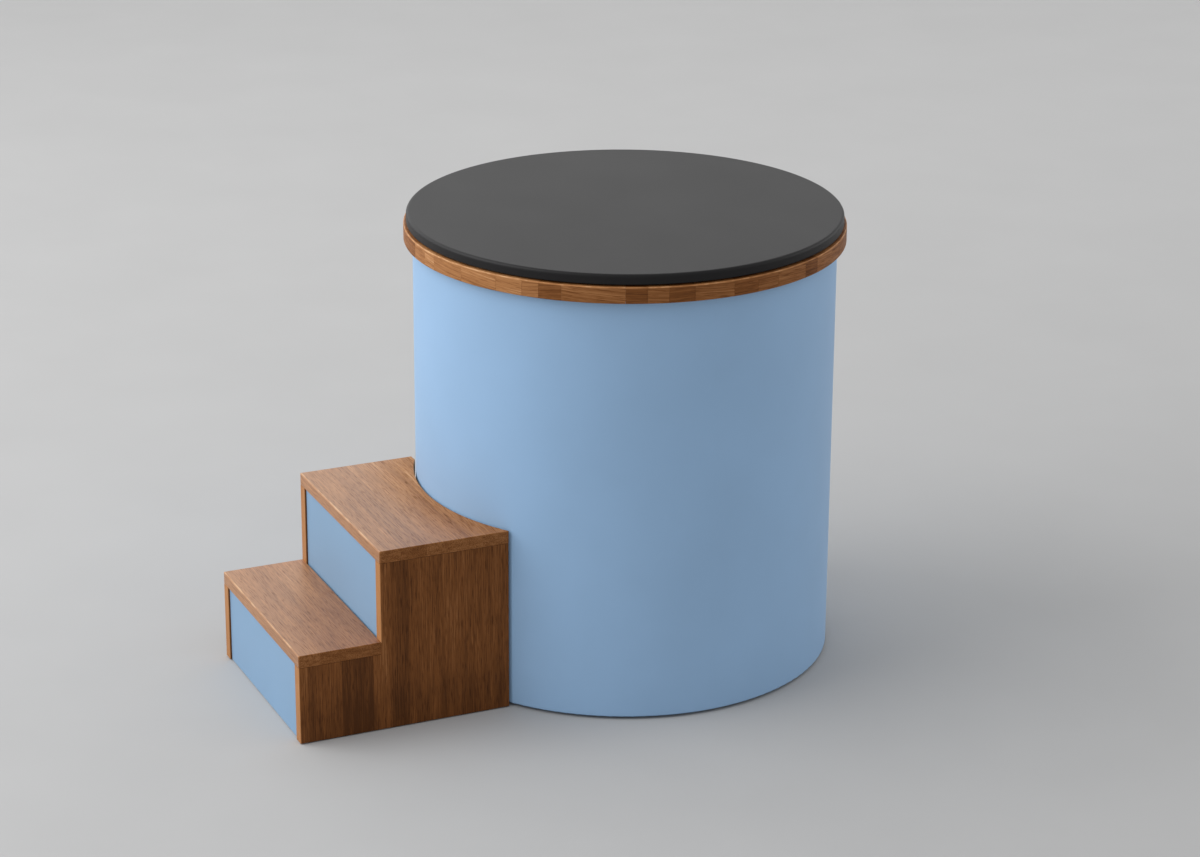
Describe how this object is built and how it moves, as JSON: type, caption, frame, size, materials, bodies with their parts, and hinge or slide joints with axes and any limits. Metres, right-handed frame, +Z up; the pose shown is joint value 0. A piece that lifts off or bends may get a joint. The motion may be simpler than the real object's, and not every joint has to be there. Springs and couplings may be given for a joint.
{
  "type": "barrel cold plunge tub",
  "caption": "Insulated round cold plunge tub with a painted shell, wooden rim, lift-off flat lid, hidden drain valve and free-standing wooden steps scooped to fit the tub.",
  "frame": {"origin": "the tub's axis at floor level, in the middle of the plinth's bottom face", "axes": "+Z up, the steps stand on the -Y side, +X to the right of someone who climbs them"},
  "size_m": [0.886, 1.237, 0.925],
  "materials": {
    "shell_paint": "matte powder coat",
    "riser_paint": "matte paint on board",
    "rim_wood": "oiled hardwood blocks",
    "step_wood": "oiled hardwood, edge glued",
    "batten_wood": "planed, unfinished",
    "plywood": "marine plywood",
    "lid_plastic": "matte charcoal, fine grain",
    "liner_gelcoat": "satin gelcoat",
    "foam": "rigid insulating foam",
    "black_plastic": "matte",
    "rubber": "matte",
    "pipe_plastic": "satin grey",
    "seat_plastic": "smooth white",
    "valve_metal": "plated, satin",
    "steel": "zinc plated",
    "grip_vinyl": "dipped vinyl"
  },
  "bodies": {
    "tub": {"outer_shell": "shell_paint", "base_plinth": "black_plastic", "base_panel": "black_plastic", "base_screws": "steel", "floor_insulation": "foam", "cove_insulation": "foam", "wall_insulation": "foam", "liner": "liner_gelcoat", "rim_support": "plywood", "rim_segments": "rim_wood", "rim_tenons": "batten_wood", "rim_screws": "steel", "drain_flange": "steel", "drain_strainer": "steel", "drain_gasket": "rubber", "drain_nut": "pipe_plastic", "drain_elbow": "pipe_plastic", "drain_pipe": "pipe_plastic", "pipe_grommet": "rubber", "valve_body": "valve_metal", "valve_seats": "seat_plastic", "hose_tail": "valve_metal"},
    "drain_lever": {"valve_ball": "valve_metal", "valve_stem": "valve_metal", "valve_lever": "steel", "lever_grip": "grip_vinyl", "lever_nut": "steel"},
    "lid": {"lid_shell": "lid_plastic", "lid_pan": "lid_plastic", "lid_core": "foam", "lid_plug_core": "foam", "lid_gasket": "rubber"},
    "steps": {"step_side_right": "step_wood", "step_side_left": "step_wood", "lower_tread": "step_wood", "upper_tread": "step_wood", "lower_riser": "riser_paint", "upper_riser": "riser_paint", "step_rails": "batten_wood", "rail_dowels": "batten_wood", "tread_cleats": "batten_wood", "riser_cleats": "batten_wood", "cleat_screws": "steel", "tread_screws": "steel", "riser_screws": "steel", "step_glides": "black_plastic"}
  },
  "joints": [
    {"name": "lid_lift", "type": "slide", "parent": "tub", "child": "lid", "axis": [0, 0, 1], "range_m": [0, 0.4]},
    {"name": "steps_slide", "type": "slide", "parent": "tub", "child": "steps", "axis": [0, -1, 0], "range_m": [0, 0.4]},
    {"name": "drain_lever_turn", "type": "hinge", "parent": "tub", "child": "drain_lever", "pos_m": [-0.34153, 0.34153, 0.0776], "axis": [0, 0, 1], "range_deg": [0, 90]}
  ]
}
